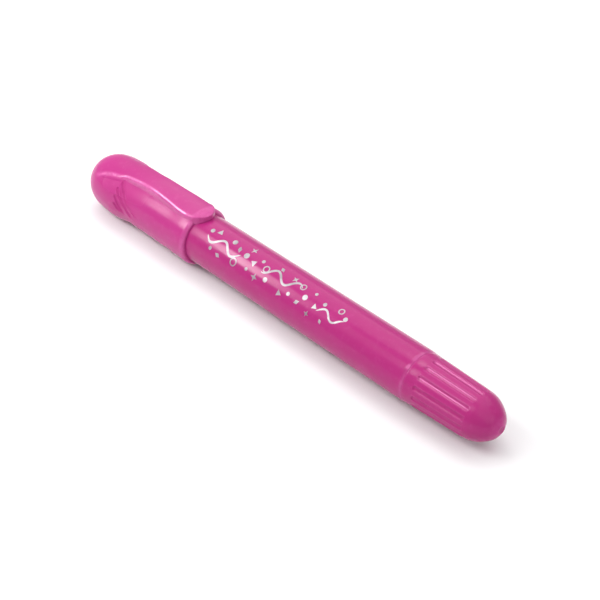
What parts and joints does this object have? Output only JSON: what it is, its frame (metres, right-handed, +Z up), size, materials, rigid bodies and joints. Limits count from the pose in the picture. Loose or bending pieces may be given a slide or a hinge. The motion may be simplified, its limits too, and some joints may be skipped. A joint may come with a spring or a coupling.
{
  "type": "twist-up face paint stick",
  "caption": "Capped round crayon-style stick of face paint: turning the fluted tail knob feeds the paint out of the nozzle under the pull-off cap.",
  "frame": {"origin": "middle of the footprint, on the surface that the stick lies on", "axes": "+X along the stick from the cap's nose to the tail knob, +Z up through the cap's tongue, +Y across"},
  "size_m": [0.146, 0.0166, 0.0168],
  "materials": {
    "cap_plastic": "glossy moulded magenta plastic",
    "barrel_plastic": "glossy moulded magenta plastic, a little deeper than the cap",
    "liner_plastic": "soft translucent white plastic",
    "white_plastic": "semi-gloss white plastic",
    "natural_plastic": "uncoloured milky plastic",
    "rubber": "black rubber",
    "paint": "soft waxy magenta paint",
    "silver_foil": "hot-stamped silver foil on the barrel"
  },
  "bodies": {
    "barrel": {"barrel": "barrel_plastic", "front_sleeve": "white_plastic", "retaining_ring": "natural_plastic"},
    "cap": {"cap_shell": "cap_plastic", "cap_liner": "liner_plastic"},
    "knob": {"twist_knob": "barrel_plastic", "lead_screw": "natural_plastic", "friction_ring": "rubber"},
    "carrier": {"drive_nut": "natural_plastic", "pusher_tube": "white_plastic", "paint_cup": "white_plastic", "paint_stick": "paint"}
  },
  "joints": [
    {"name": "cap_pull", "type": "slide", "parent": "barrel", "child": "cap", "axis": [-1, 0, 0], "range_m": [0, 0.045]},
    {"name": "knob_twist", "type": "hinge", "parent": "barrel", "child": "knob", "pos_m": [0, 0, 0.00772], "axis": [-1, 0, 0], "range_deg": [0, 1728.01]},
    {"name": "paint_feed", "type": "slide", "parent": "barrel", "child": "carrier", "axis": [-1, 0, 0], "range_m": [0, 0.024]}
  ],
  "couplings": [
    {"joint": "knob_twist", "follows": "paint_feed", "rad_per_m": 1256.6}
  ]
}
